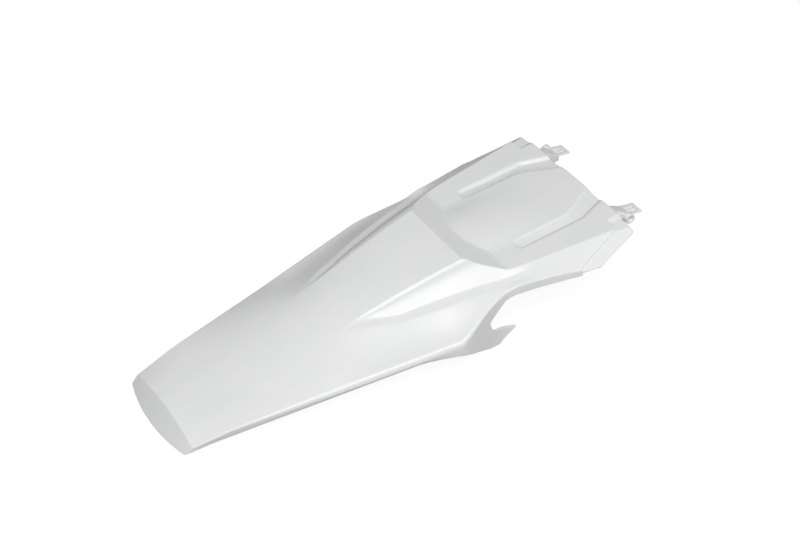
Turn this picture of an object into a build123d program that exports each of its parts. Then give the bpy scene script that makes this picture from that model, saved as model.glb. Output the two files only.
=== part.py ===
from build123d import *
import os
from math import hypot

# Off-road motorcycle rear fender, one white polypropylene moulding of even wall.
# X runs forward from the tail, Y to the left, Z up from the table that the fender rests on.
# Sizes are in millimetres, measured from the tail corners, and slopes are rise over run.

# Wall and length
wall = 2.6
front_x = 553.0

# Side lips, straight in plan and in side view from the tail to the kink
tail_half_width = 61.0
lip_flare = 0.184
lip_start_z = 12.5
lip_rise = 0.1175
lip_radius = 5.0
lip_depth = 11.5
lip_flare_out = -0.12
tail_droop = 4.2
tail_droop_length = 70.0
kink_x = 312.0

# Deck, a crowned sheet that rises to the crest behind the seat
deck_tail_z = 16.5
deck_tail_slope = 0.105
crest_x = 357.0
crest_z = 98.4
crest_slope = 0.16
crown_rate = 0.0255

# Creases along the deck, the narrow step beside each and the facet below it
crease_tail_y = 24.0
crease_flare = 0.087
crease_start_x = 185.0
crease_length = 65.0
step_width = 2.6
step_drop = 4.3
facet_slope = 0.72

# Shelf that parts the facet from the flank and runs out diagonally
shelf_gap = 6.0
shelf_run = 20.0
shelf_start_x = 235.0
shelf_length = 100.0
shelf_drift = 0.1
shelf_width = 8.0
shelf_slope = 0.2
shelf_end_x = 388.0
shelf_fade = 45.0

# Upright side plates ahead of the kink: in and up to a waist, then out again as a wing
waist_half_width = 101.8
waist_length = 70.0
plate_rise = 29.2
plate_rise_length = 90.0
plate_rise_power = 1.35
plate_fall = 0.045
plate_fall_x = 442.0
wing_x = 380.0
wing_length = 96.0
wing_spread = 16.8
wing_power = 1.4
plate_radius = 2.2
plate_blend = 30.0

# Shoulders, where the straight flanks of the wings meet the seat platform
shoulder_x = 464.0
shoulder_half_width = 93.8
shoulder_flare = 0.125
flank_lap = 14.0

# Tail cap, a slanted lens that closes the rear end
cap_x = -15.5
cap_lean = 1.39
cap_plan_radius = 200.0

# Seat recess, a step down from the crest to a platform that rises forward
step_slope = -0.3085
platform_x = 406.0
platform_z = 86.4
platform_slope = 0.0815
recess_fillet = 14.0

# Crowned hump in the middle of the platform
hump_rear_x = 374.0
hump_bend_x = 512.0
hump_half_width = 47.0
hump_front_half_width = 29.0
hump_rim = 3.0
hump_rim_rear = 2.0
hump_rim_front = 0.3
hump_crown_rear = 4.5
hump_crown_front = 1.0

# Drain grooves beside the hump
groove_rear_x = 427.0
groove_bend_x = 518.0
groove_half_width = 64.0
groove_front_half_width = 48.5
groove_depth = 3.8
groove_front_depth = 3.0
groove_lean = 1.0
groove_end_radius = 7.0

# Lower outline of the side plates: a forward prong, an open notch above it, then a narrow band
plate_break_x = 306.0
plate_break_radius = 40.0
plate_heel_x = 361.0
plate_heel_z = 3.5
plate_heel_radius = 12.0
prong_low_x = 376.0
prong_low_z = 0.6
prong_tip_x = 397.5
prong_tip_z = 18.3
prong_tip_radius = 1.5
notch_floor_x = 364.5
notch_floor_z = 27.0
notch_back_x = 357.5
notch_back_z = 43.5
notch_radius = 6.0
notch_roof_x = 387.4
notch_roof_z = 65.2
notch_roof_radius = 30.0
band_end_back = 78.5
band_end_z = 66.8
band_top_back = 77.0
band_top_z = 76.0

# Front corners, stepped inwards by the thickness of the panel that covers them:
# the top drops by a ramp, and the flank ends on a slanted edge with a flap behind it
corner_inner_y = 84.2
corner_back = 17.0
corner_drop = 2.4
corner_ramp = 4.6
corner_lap = 6.0
flap_heel_z = 72.0
flap_low_back = 54.0
flap_low_z = 73.6
flap_tip_reach = 1.8
flap_tip_z = 91.0
flap_lap = 9.0
flap_weld = 0.3

# Slotted tongues under the front edge and the screw bosses in them, placed from the front edge
tongue_y = 69.0
tongue_width = 17.0
tongue_wall = 2.8
tongue_root_back = 25.0
tongue_fall_reach = 10.0
tongue_fall_z = 91.3
tongue_bend_reach = 22.0
tongue_bend_z = 86.2
tongue_reach = 41.0
tongue_tip_z = 83.0
slot_width = 2.6
slot_length = 12.0
slot_count = 2
slot_land = 5.0
boss_reach = 19.6
boss_z = 82.4
boss_radius = 6.4
boss_bore = 6.4
boss_inner_y = 60.5
boss_outer_y = 84.0

# Reach of the cutting tools past the moulding
spare = 60.0
section_count = 40


def ease(t):
    t = min(max(t, 0.0), 1.0)
    return t * t * (3.0 - 2.0 * t)


def blend(a, b, t):
    return a + (b - a) * t


def deck_z(x):
    # Height of the deck on the middle line: a cubic from the tail to the crest, straight beyond
    if x > crest_x:
        return crest_z + crest_slope * (x - crest_x)
    if x < 0.0:
        return deck_tail_z + deck_tail_slope * x
    t = x / crest_x
    tail_part = (2 * t**3 - 3 * t**2 + 1) * deck_tail_z
    tail_part += (t**3 - 2 * t**2 + t) * crest_x * deck_tail_slope
    crest_part = (3 * t**2 - 2 * t**3) * crest_z
    crest_part += (t**3 - t**2) * crest_x * crest_slope
    return tail_part + crest_part


def lip_point(x):
    # Upper edge of the lip: it droops at the tail, turns inwards at the kink, climbs to the top
    # of the side plate and swings out along the wing
    y = tail_half_width + lip_flare * min(x, kink_x)
    z = lip_start_z + lip_rise * min(x, kink_x)
    z -= tail_droop * (1.0 - ease(x / tail_droop_length))
    past = max(x - kink_x, 0.0)
    turn = min(past / waist_length, 1.0)
    y = blend(y, waist_half_width, (turn + ease(turn)) / 2.0)
    y += wing_spread * (max(x - wing_x, 0.0) / wing_length) ** wing_power
    climb = min(past / plate_rise_length, 1.0)
    z += plate_rise * (1.0 - (1.0 - climb) ** plate_rise_power)
    return y, z - plate_fall * max(x - plate_fall_x, 0.0)


def platform_at(x):
    return platform_z + platform_slope * (x - platform_x)


def offset_point(point, slopes, inset):
    # Where the two lines that meet at a point meet again after both have moved inwards
    normals = []
    for slope in slopes:
        size = hypot(1.0, slope)
        normals.append((slope / size, -1.0 / size))
    (a, b), (c, d) = normals
    scale = inset / (1.0 + a * c + b * d)
    return point[0] + scale * (a + c), point[1] + scale * (b + d)


def half_section(x, inset):
    # Crease, valley, shelf, ridge and lip of one half section, with the slopes before and after each.
    # Near the tail they all lie on one parabola, and the creases sharpen as they run forward.
    crisp = ease((x - crease_start_x) / crease_length)
    lip_y, lip_z = lip_point(x)
    top = deck_z(x)
    fall = (top - lip_z) / lip_y**2

    crease_y = crease_tail_y + crease_flare * x
    crease_z = top - crown_rate * max(crest_x - x, 0.0)
    valley_y = crease_y + step_width
    valley_z = crease_z - step_drop
    shelf_y = crease_y + shelf_gap + shelf_run * ease((x - shelf_start_x) / shelf_length)
    shelf_y += shelf_drift * max(x - shelf_start_x - shelf_length, 0.0)
    shelf_z = valley_z - facet_slope * (shelf_y - valley_y)
    ridge_y = shelf_y + shelf_width
    ridge_z = shelf_z - shelf_slope * shelf_width

    # Past the end of the shelf all lines slide onto the straight flank between shoulder and lip
    gone = ease((x - shelf_end_x) / shelf_fade)
    shoulder_y = shoulder_half_width + shoulder_flare * (x - shoulder_x)
    flank_slope = (platform_at(x) - lip_z) / (lip_y - shoulder_y)
    inner_y = shoulder_y - flank_lap
    flank_ys = (inner_y - step_width, inner_y, blend(shoulder_y, lip_y, 0.25), blend(shoulder_y, lip_y, 0.65))
    lines = ((crease_y, crease_z), (valley_y, valley_z), (shelf_y, shelf_z), (ridge_y, ridge_z))
    points = []
    for (y, z), flank_y in zip(lines, flank_ys):
        y = blend(y, flank_y, gone)
        z = blend(z, platform_at(x) + flank_slope * (shoulder_y - flank_y), gone)
        points.append((y, blend(top - fall * y * y, z, crisp)))
    points.append((lip_y, lip_z))

    chords = []
    for (y0, z0), (y1, z1) in zip(points[:-1], points[1:]):
        chords.append((z1 - z0) / (y1 - y0))
    plate = ease((x - kink_x) / plate_blend)
    lip_slope = blend(lip_flare_out, chords[3], plate)
    ridge_slope = blend(2.0 * chords[3] - lip_slope, chords[3], plate)
    before = [2.0 * (points[0][1] - top) / points[0][0]] + chords[:3] + [lip_slope]
    after = chords[:3] + [ridge_slope, lip_slope]
    slopes = []
    for (y, z), left, right in zip(points, before, after):
        smooth = -2.0 * fall * y
        slopes.append((blend(smooth, left, crisp), blend(smooth, right, crisp)))

    radius = blend(lip_radius, plate_radius, plate)
    side = (lip_y + radius - inset, lip_z - 1.4 * radius - 0.6 * inset)
    inner = [offset_point(point, pair, inset) for point, pair in zip(points, slopes)]
    return inner, slopes, side, top - inset


def section(x, inset):
    # Closed section across the fender: crown, facets and lips above, upright walls to below the table
    points, slopes, side, top = half_section(x, inset)
    foot = -spare - inset
    curves = []
    for i in range(4):
        (y0, z0), (y1, z1) = points[i], points[i + 1]
        third = (y1 - y0) / 3.0
        start = (y0 + third, z0 + slopes[i][1] * third)
        end = (y1 - third, z1 - slopes[i + 1][0] * third)
        curves.append([(y0, z0), start, end, (y1, z1)])
    (y0, z0), (y1, z1) = points[4], side
    pull = 0.55 * (y1 - y0)
    curves.append([(y0, z0), (y0 + pull, z0 + slopes[4][1] * pull), (y1, z1 + 0.55 * (z0 - z1)), (y1, z1)])

    crease_y, crease_z = points[0]
    lift = crease_z + 4.0 / 3.0 * (top - crease_z)
    crown = [(-crease_y, crease_z), (-crease_y / 3, lift), (crease_y / 3, lift), (crease_y, crease_z)]
    left = [Bezier(*[(x, y, z) for y, z in curve]) for curve in [crown] + curves]
    right = [Bezier(*[(x, -y, z) for y, z in reversed(curve)]) for curve in reversed(curves)]
    walls = Polyline((x, side[0], side[1]), (x, side[0], foot), (x, -side[0], foot), (x, -side[0], side[1]))
    return Face(Wire(left + walls.edges() + right))


def body(inset, start, end, count):
    # Evenly spaced sections, so that the skin between them stays fair
    pitch = (end - start) / count
    return loft([section(start + i * pitch, inset) for i in range(count + 1)])


def side_prism(outline, half_width):
    return extrude(Plane.XZ * outline, amount=half_width, both=True)


def polygon(corners, radii):
    # Polygon whose corners are rounded where a radius is given for their number
    outline = make_face(Polyline(*corners, close=True))
    for number, radius in radii.items():
        corner = outline.vertices().sort_by_distance(Vector(*corners[number]))[0]
        outline = fillet(corner, radius)
    return outline


def half_reach():
    return tail_half_width + lip_flare * kink_x + spare


def recess(inset):
    # What the seat takes away above the step and the platform
    back_x = crest_x - spare
    far_x = front_x + 2.0 * spare
    high_z = crest_z + 3.0 * spare
    rise = crest_z - platform_at(crest_x)
    foot_x = crest_x + rise / (platform_slope - step_slope)
    step_drop_z = inset * hypot(1.0, step_slope)
    corners = [
        (back_x, crest_z + step_slope * (back_x - crest_x) - step_drop_z),
        (foot_x, platform_at(foot_x) - inset),
        (far_x, platform_at(far_x) - inset),
        (far_x, high_z),
        (back_x, high_z),
    ]
    return side_prism(polygon(corners, {1: recess_fillet}), half_reach())


def hump_section(x, half_width, rim_height, crown):
    # Flat rims and a crown between them, on a base below the platform
    floor_z = platform_at(x) - 4.0 * hump_crown_rear
    rim_z = platform_at(x) + rim_height
    crown_y = half_width - hump_rim
    outline = [
        Polyline((x, crown_y, rim_z), (x, half_width, rim_z), (x, half_width, floor_z),
                 (x, -half_width, floor_z), (x, -half_width, rim_z), (x, -crown_y, rim_z)),
        ThreePointArc((x, -crown_y, rim_z), (x, 0.0, rim_z + crown), (x, crown_y, rim_z)),
    ]
    return make_face(outline)


def hump(inset):
    # Straight from the step to the bend, then narrowing to the front edge
    length = front_x - hump_rear_x
    sections = []
    for x in (hump_rear_x, hump_bend_x, front_x + 2.0 * wall):
        along = (x - hump_rear_x) / length
        narrow = max(x - hump_bend_x, 0.0) / (front_x - hump_bend_x)
        half_width = blend(hump_half_width, hump_front_half_width, narrow)
        rim_height = blend(hump_rim_rear, hump_rim_front, along)
        crown = blend(hump_crown_rear, hump_crown_front, along)
        sections.append(hump_section(x, half_width - inset, rim_height - inset, crown))
    return loft(sections[:2], ruled=True) + loft(sections[1:], ruled=True)


def groove_plan(grown):
    # Plan of one groove, with its walls moved outwards by an amount
    far_x = front_x + spare / 2.0
    outer_run = (far_x - groove_bend_x) / (front_x - groove_bend_x)
    inner_run = (far_x - hump_bend_x) / (front_x - hump_bend_x)
    inner_y = hump_half_width - hump_rim / 2.0
    front_inner_y = hump_front_half_width - hump_rim / 2.0
    corners = [
        (groove_rear_x, inner_y),
        (hump_bend_x, inner_y),
        (far_x, blend(inner_y, front_inner_y, inner_run)),
        (far_x, blend(groove_half_width, groove_front_half_width, outer_run)),
        (groove_bend_x, groove_half_width),
        (groove_rear_x, groove_half_width),
    ]
    plan = make_face(Polyline(*corners, close=True))
    if grown != 0.0:
        plan = offset(plan, amount=grown, kind=Kind.INTERSECTION)
    rear = plan.vertices().group_by(Axis.X)[0]
    return fillet(rear, groove_end_radius + grown)


def groove(inset):
    # Pair of grooves between the hump and the shoulders, with sloping walls, a round rear end
    # and a floor that comes up towards the front
    floor_slope = platform_slope + (groove_depth - groove_front_depth) / (front_x - groove_rear_x)
    lid_z = platform_at(0.0) + hump_rim_rear - inset
    floor_z = platform_at(groove_rear_x) - groove_depth - inset - floor_slope * groove_rear_x
    lid = slanted(lid_z, platform_slope) * groove_plan(inset + hump_rim_rear * groove_lean)
    floor = slanted(floor_z, floor_slope) * groove_plan(inset - groove_depth * groove_lean)
    tool = loft([lid, floor], ruled=True)
    return tool + mirror(tool, Plane.XZ)


def slanted(z, slope):
    # Plane that crosses the origin's upright at a height and rises forward
    return Plane((0.0, 0.0, z), x_dir=(1.0, 0.0, slope), z_dir=(-slope, 0.0, 1.0))


def tail(inset):
    # Everything behind the slanted face of the tail cap
    half = tail_half_width + spare
    low_z = -spare
    high_z = deck_tail_z + spare
    rear_x = cap_x - cap_lean * 3.0 * spare
    arch = cap_plan_radius - (cap_plan_radius**2 - half**2) ** 0.5
    middle_x = cap_x + cap_lean * low_z + inset * hypot(1.0, cap_lean)
    side_x = middle_x + arch
    outline = [
        ThreePointArc((side_x, -half), (middle_x, 0.0), (side_x, half)),
        Polyline((side_x, half), (rear_x, half), (rear_x, -half), (side_x, -half)),
    ]
    plan = Pos(0.0, 0.0, low_z) * make_face(outline)
    return extrude(plan, amount=(high_z - low_z) * hypot(1.0, cap_lean), dir=(cap_lean, 0.0, 1.0))


def skin(inset):
    # Solid inside the outer surface after it has moved inwards
    whole = body(inset, cap_x - spare / 2.0, front_x + spare / 2.0, section_count)
    return whole - recess(inset) - tail(inset) + hump(inset) - groove(inset)


def kept():
    # Side view of the moulding: what lies outside it is trimmed away
    lip_low_z = lip_start_z - lip_depth
    rear_x = cap_x - spare
    high_z = crest_z + spare
    corners = [
        (rear_x, lip_low_z + lip_rise * rear_x),
        (plate_break_x, lip_low_z + lip_rise * plate_break_x),
        (plate_heel_x, plate_heel_z),
        (prong_low_x, prong_low_z),
        (prong_tip_x, prong_tip_z),
        (notch_floor_x, notch_floor_z),
        (notch_back_x, notch_back_z),
        (notch_roof_x, notch_roof_z),
        (front_x - band_end_back, band_end_z),
        (front_x - band_top_back, band_top_z),
        (front_x, band_top_z),
        (front_x, high_z),
        (rear_x, high_z),
    ]
    radii = {
        1: plate_break_radius,
        2: plate_heel_radius,
        4: prong_tip_radius,
        5: notch_radius,
        6: notch_radius,
        7: notch_roof_radius,
    }
    return side_prism(polygon(corners, radii), half_reach())


def flank_ends():
    # What the slanted front edge takes off both flanks and off the outer part of the platform
    corner_x = front_x - corner_back
    far_x = front_x + spare
    corners = [
        (front_x - band_top_back, band_top_z),
        (corner_x, platform_at(corner_x)),
        (corner_x, crest_z + spare),
        (far_x, crest_z + spare),
        (far_x, band_top_z - spare),
        (front_x - band_end_back + spare, band_top_z - spare),
    ]
    ramp_end_y = corner_inner_y + corner_ramp
    half = (half_reach() - ramp_end_y) / 2.0
    tool = Pos(0.0, ramp_end_y + half, 0.0) * side_prism(polygon(corners, {}), half)
    return tool + mirror(tool, Plane.XZ)


def corner_ramps():
    # What the ramps take off the platform between its full height and the lowered corners
    start_x = front_x - corner_back
    top_z = platform_at(start_x)
    outline = make_face(Polyline(
        (start_x, corner_inner_y, top_z),
        (start_x, corner_inner_y + corner_ramp, top_z - corner_drop),
        (start_x, corner_inner_y + corner_ramp, top_z + spare),
        (start_x, corner_inner_y, top_z + spare),
        close=True,
    ))
    tool = extrude(outline, amount=2.0 * corner_back * hypot(1.0, platform_slope), dir=(1.0, 0.0, platform_slope))
    return tool + mirror(tool, Plane.XZ)


def lid(drop):
    # Everything above the platform after it has moved down
    rear_x = front_x - 2.0 * spare
    far_x = front_x + 2.0 * spare
    high_z = crest_z + 3.0 * spare
    corners = [
        (rear_x, platform_at(rear_x) - drop),
        (far_x, platform_at(far_x) - drop),
        (far_x, high_z),
        (rear_x, high_z),
    ]
    return side_prism(polygon(corners, {}), half_reach())


def flaps():
    # A second layer of the flanks and of the front corners, lapped behind the edges of the first
    band_end_x = front_x - band_end_back
    band_top_x = front_x - band_top_back
    corner_x = front_x - corner_back
    reach = (band_top_x - spare / 2.0, front_x + flap_tip_reach + spare / 2.0, 6)
    layer = body(wall - flap_weld, *reach) - lid(corner_drop)
    layer -= body(2.0 * wall, *reach) - lid(corner_drop + wall)
    corners = [
        (band_end_x + wall, flap_heel_z),
        (front_x - flap_low_back, flap_low_z),
        (front_x + flap_tip_reach, flap_tip_z),
        (front_x, platform_at(front_x) - corner_drop - wall),
        (front_x, platform_at(front_x)),
        (corner_x - corner_lap, platform_at(corner_x)),
        (corner_x - corner_lap, platform_at(corner_x) - corner_drop - wall),
        (band_top_x - flap_lap, band_top_z),
        (band_end_x - flap_lap, flap_heel_z),
    ]
    layer &= side_prism(polygon(corners, {2: wall / 3.0}), half_reach())
    return layer - Box(4.0 * spare + 2.0 * front_x, 2.0 * (corner_inner_y - corner_lap), 8.0 * spare)


def tongue():
    # Strip that falls from the underside of the platform and levels out to its slotted tip
    root_x = front_x - tongue_root_back
    tip_x = front_x + tongue_reach
    line = [
        (root_x, platform_at(root_x) - 0.8 * wall),
        (front_x - wall, platform_at(front_x) - wall),
        (front_x + tongue_fall_reach, tongue_fall_z),
        (front_x + tongue_bend_reach, tongue_bend_z),
        (tip_x, tongue_tip_z),
    ]
    upper = Spline(*line)
    lower = Spline(*[(x, z - tongue_wall) for x, z in line])
    profile = make_face([upper, Line(upper @ 1, lower @ 1), lower, Line(lower @ 0, upper @ 0)])
    strip = Pos(0.0, tongue_y, 0.0) * side_prism(profile, tongue_width / 2.0)
    pitch = tongue_width / (slot_count + 1)
    for i in range(slot_count):
        slot_y = tongue_y - tongue_width / 2.0 + (i + 1) * pitch
        slot = Box(slot_length, slot_width, 8.0 * tongue_wall)
        strip -= Pos(tip_x - slot_land - slot_length / 2.0, slot_y, tongue_tip_z) * slot
    return strip


def boss():
    # Cross tube in the tongue, tied to the platform by an upright web
    root_x = front_x - tongue_root_back
    boss_x = front_x + boss_reach
    web_y = tongue_y + (tongue_width - tongue_wall) / 2.0
    corners = [
        (boss_x, boss_z - boss_radius),
        (boss_x, boss_z + boss_radius / 2.0),
        (front_x - wall, platform_at(front_x) - 1.5 * wall),
        (root_x, platform_at(root_x) - 0.8 * wall),
        (root_x, platform_at(root_x) - wall - tongue_wall),
    ]
    web = Pos(0.0, web_y, 0.0) * side_prism(polygon(corners, {}), tongue_wall / 2.0)
    return boss_cylinder(boss_radius, 0.0) + web


def boss_cylinder(radius, extra):
    middle = (boss_outer_y + boss_inner_y) / 2.0
    length = boss_outer_y - boss_inner_y + extra
    return Pos(front_x + boss_reach, middle, boss_z) * Rot(90.0, 0.0, 0.0) * Cylinder(radius, length)


shell = (skin(0.0) - skin(wall)) & kept()
shell -= flank_ends() + corner_ramps()
fittings = tongue() + boss()
fender = shell + flaps() + fittings + mirror(fittings, Plane.XZ)
bore = boss_cylinder(boss_bore / 2.0, 2.0 * wall)
fender -= bore + mirror(bore, Plane.XZ)

# The origin goes to the middle of the footprint, on the table
box = fender.bounding_box()
fender = Pos(-box.center().X, -box.center().Y, -box.min.Z) * fender

os.makedirs("parts", exist_ok=True)
export_step(fender, "parts/rear_fender.step")
print("rear_fender", box.size, "origin at", -box.center().X, -box.min.Z)
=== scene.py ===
import math
import bpy
import numpy as np
from mathutils import Matrix, Vector


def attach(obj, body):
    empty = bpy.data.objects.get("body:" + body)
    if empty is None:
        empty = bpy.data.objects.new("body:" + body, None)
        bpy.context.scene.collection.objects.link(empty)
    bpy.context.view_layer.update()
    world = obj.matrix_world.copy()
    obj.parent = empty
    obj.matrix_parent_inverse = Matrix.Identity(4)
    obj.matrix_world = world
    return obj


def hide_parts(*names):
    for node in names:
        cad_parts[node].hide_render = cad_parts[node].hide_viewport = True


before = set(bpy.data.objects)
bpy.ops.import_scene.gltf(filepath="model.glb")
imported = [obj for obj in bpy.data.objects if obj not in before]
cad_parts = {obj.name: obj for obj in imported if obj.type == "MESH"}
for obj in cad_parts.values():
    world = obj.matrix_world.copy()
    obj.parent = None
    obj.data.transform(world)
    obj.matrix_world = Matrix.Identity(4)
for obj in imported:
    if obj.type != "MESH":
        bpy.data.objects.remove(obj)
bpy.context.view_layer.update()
print("frame loaded", sorted(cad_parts))

# Lengths are in millimetres on the drawing's own axes: X forward from the tail corners, Z up.
# putMesh moves them onto the frame's axes and turns them into metres.
drawing = dict(shiftX=-288.568, shiftZ=0.982, merge=2e-3, sharpAngle=62.0)


def ease(t):
    t = np.clip(t, 0.0, 1.0)
    return t * t * (3.0 - 2.0 * t)


def mix(a, b, t):
    return a + (b - a) * t


# Lower of two heights, with the corner between them rounded over a height band k
def softMin(a, b, k):
    h = np.maximum(k - np.abs(a - b), 0.0) / k
    return np.minimum(a, b) - h * h * k / 4.0


def softMax(a, b, k):
    return -softMin(-a, -b, k)


# Share of the way from 0 to 1 in n steps, close together at both ends
def crowd(n):
    return 0.5 - 0.5 * np.cos(np.pi * np.arange(n + 1) / n)


deck = dict(
    tailZ=16.2, tailSlope=0.105, crestX=357.0, crestZ=98.4, crestSlope=0.16, crownRate=0.0255,
    creaseTailY=20.0, creaseFlare=0.0905, creaseStart=165.0, creaseLength=60.0,
    stepWidth=2.8, stepDrop=2.9, stepShare=0.2, stepStart=200.0, stepLength=55.0, ledge=0.1, facetDip=0.3,
    facetSlope=0.7, shelfX=269.0, shelfY=61.6, shelfRun=0.222, shelfOpening=0.43, shelfSlope=0.28,
    shelfGap=0.5, shelfSoft=0.8, shelfEnd=388.0, shelfFade=45.0,
    ridgeX=377.0, ridgeY=96.2, ridgeRun=0.2, ridgeBendX=330.0, ridgeBend=0.00111,
    ridgeMargin=6.5, ridgeSoft=3.0, ridgeGap=0.8,
    shoulderY=93.8, shoulderX=464.0, shoulderFlare=0.125, flankLap=14.0, flankBulge=1.15,
    flankShares=(0.25, 0.65),
)
lip = dict(
    halfWidth=61.0, flare=0.184, startZ=12.5, rise=0.1175, radius=5.0, depth=11.5, flareOut=0.4,
    tailRadius=0.8, tailLength=220.0, rollDrop=1.4, rollPull=0.55,
    tuck=1.6, tuckLength=30.0, tuckEnd=270.0, tuckFade=60.0, tuckPower=1.6,
    tailDroop=4.6, tailDroopLength=60.0, kinkX=312.0, waistHalfWidth=101.8, turn=70.0,
    wing=16.8, wingX=380.0, wingLength=96.0, wingPower=1.4,
    climb=29.2, climbLength=90.0, climbPower=1.35, fall=0.045, fallX=442.0, plateRadius=2.2, plateBlend=45.0,
)
cap = dict(x=-12.4, lean=1.12, planRadius=275.0, edge=0.4)
seat = dict(
    stepSlope=-0.3085, platformX=406.0, platformZ=86.4, platformSlope=0.0815,
    foot=1.6, crestEdge=0.25, reach=20.0,
)
hump = dict(
    bendX=506.5, halfWidth=48.3, frontHalfWidth=25.3, ledge=4.5, rim=0.3, crown=6.0, crownFront=0.6,
    crownPower=2.2, soft=1.8, fadeX=395.0, fadeLength=130.0, sideSlope=0.4, rearEdge=0.35,
)
groove = dict(
    rearX=427.0, bendX=518.0, halfWidth=64.6, frontHalfWidth=52.0, depth=3.6, frontDepth=3.0,
    rearShare=0.55, rearRamp=45.0, innerDepth=0.5, lean=1.3, endRadius=8.0, soft=0.5,
)
corner = dict(
    innerY=84.2, x=536.0, drop=2.4, ramp=4.6, step=0.4, inset=5.2, lowInset=4.0, slope=0.09, radius=8.0,
)
shell = dict(wall=2.6, frontX=553.0, edgeRadius=0.7, normalPasses=8, tailCut=40.0)


# Deck height on the middle line: a cubic from the tail to the crest, straight beyond both
def deckHeight(x):
    d = deck
    t = np.clip(x / d["crestX"], 0.0, 1.0)
    z = (2 * t**3 - 3 * t**2 + 1) * d["tailZ"] + (t**3 - 2 * t**2 + t) * d["crestX"] * d["tailSlope"]
    z = z + (3 * t**2 - 2 * t**3) * d["crestZ"] + (t**3 - t**2) * d["crestX"] * d["crestSlope"]
    return z + d["tailSlope"] * np.minimum(x, 0.0) + d["crestSlope"] * np.maximum(x - d["crestX"], 0.0)


# Radius of the lip's roll: tight at the tail, full further on
def rollRadius(x):
    return mix(lip["tailRadius"], lip["radius"], ease(x / lip["tailLength"]))


# Upper edge of the lip in plan and in height: straight to the kink with a droop at the tail,
# then in to a waist and up to the side plate, and out again on a power curve to the wing at the front
def lipLine(x):
    p = lip
    y = p["halfWidth"] + p["flare"] * np.minimum(x, p["kinkX"]) + p["radius"] - rollRadius(x)
    z = p["startZ"] + p["rise"] * np.minimum(x, p["kinkX"])
    z = z - p["tailDroop"] * (1.0 - ease(x / p["tailDroopLength"]))
    past = np.maximum(x - p["kinkX"], 0.0)
    turn = np.minimum(past / p["turn"], 1.0)
    y = mix(y, p["waistHalfWidth"], 0.5 * (turn + ease(turn)))
    y = y + p["wing"] * (np.maximum(x - p["wingX"], 0.0) / p["wingLength"]) ** p["wingPower"]
    z = z + p["climb"] * (1.0 - (1.0 - np.minimum(past / p["climbLength"], 1.0)) ** p["climbPower"])
    z = z - p["fall"] * np.maximum(x - p["fallX"], 0.0)
    return y, z


def plateShare(x):
    return ease((x - lip["kinkX"]) / lip["plateBlend"])


def lipRadius(x):
    return mix(rollRadius(x), lip["plateRadius"], plateShare(x))


# Shoulder between the seat platform and the flank, in plan and in height
def shoulderLine(x):
    return deck["shoulderY"] + deck["shoulderFlare"] * (x - deck["shoulderX"]), platformHeight(x)


# Crease, valley, shelf, ridge and lip across the section at x, with the slopes before and after each.
# The shelf starts at the foot of the step and leaves it on a straight line, so the facet begins as a point.
# Near the tail all lie on one parabola, further forward they sharpen into facets,
# and past the shelf they slide onto one straight flank between the shoulder and the lip.
def sectionLines(x):
    d = deck
    crisp = ease((x - d["creaseStart"]) / d["creaseLength"])
    lipY, lipZ = lipLine(x)
    top = deckHeight(x)
    fall = (top - lipZ) / lipY**2
    creaseY = d["creaseTailY"] + d["creaseFlare"] * x
    creaseZ = top - d["crownRate"] * np.maximum(d["crestX"] - x, 0.0)
    valleyY = creaseY + d["stepWidth"]
    valleyZ = creaseZ - d["stepDrop"] * mix(d["stepShare"], 1.0, ease((x - d["stepStart"]) / d["stepLength"]))
    past = x - d["shelfX"]
    shelfY = d["shelfY"] + d["shelfRun"] * np.maximum(past, 0.0) + d["shelfOpening"] * np.minimum(past, 0.0)
    shelfY = softMax(shelfY, valleyY + d["shelfGap"], d["shelfSoft"])
    shelfZ = valleyZ - d["facetSlope"] * (shelfY - valleyY)
    ridgeY = d["ridgeY"] + d["ridgeRun"] * (x - d["ridgeX"])
    ridgeY = ridgeY - d["ridgeBend"] * np.maximum(d["ridgeBendX"] - x, 0.0) ** 2
    ridgeY = softMin(ridgeY, lipY - d["ridgeMargin"], d["ridgeSoft"])
    ridgeY = np.maximum(ridgeY, shelfY + d["ridgeGap"])
    ridgeZ = shelfZ - d["shelfSlope"] * (ridgeY - shelfY)
    gone = ease((x - d["shelfEnd"]) / d["shelfFade"])
    shoulderY, shoulderZ = shoulderLine(x)
    flank = (shoulderZ - lipZ) / (lipY - shoulderY)
    inner = shoulderY - d["flankLap"]
    wanted = [inner - d["stepWidth"], inner] + [mix(shoulderY, lipY, s) for s in d["flankShares"]]
    ys = [mix(y, w, gone) for y, w in zip((creaseY, valleyY, shelfY, ridgeY), wanted)]
    zs = [mix(z, shoulderZ + flank * (shoulderY - w), gone)
          for z, w in zip((creaseZ, valleyZ, shelfZ, ridgeZ), wanted)]
    zs = [mix(top - fall * y * y, z, crisp) for y, z in zip(ys, zs)] + [lipZ]
    ys = ys + [lipY]
    chords = [(zs[i + 1] - zs[i]) / (ys[i + 1] - ys[i]) for i in range(4)]
    upright = plateShare(x)
    lipSlope = mix(lip["flareOut"], 1.0, upright) * chords[3]
    flankSlope = mix(d["flankBulge"], 1.0, upright) * chords[3]
    level = mix(d["ledge"], 1.0, gone) * chords[1]
    facetEnd = chords[1] + d["facetDip"] * (chords[1] - level)
    before = [2.0 * (zs[0] - top) / ys[0], chords[0], facetEnd, chords[2], lipSlope]
    after = [chords[0], level, chords[2], flankSlope, lipSlope]
    before = [mix(-2.0 * fall * y, s, crisp) for y, s in zip(ys, before)]
    after = [mix(-2.0 * fall * y, s, crisp) for y, s in zip(ys, after)]
    return ys, zs, before, after, top


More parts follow.
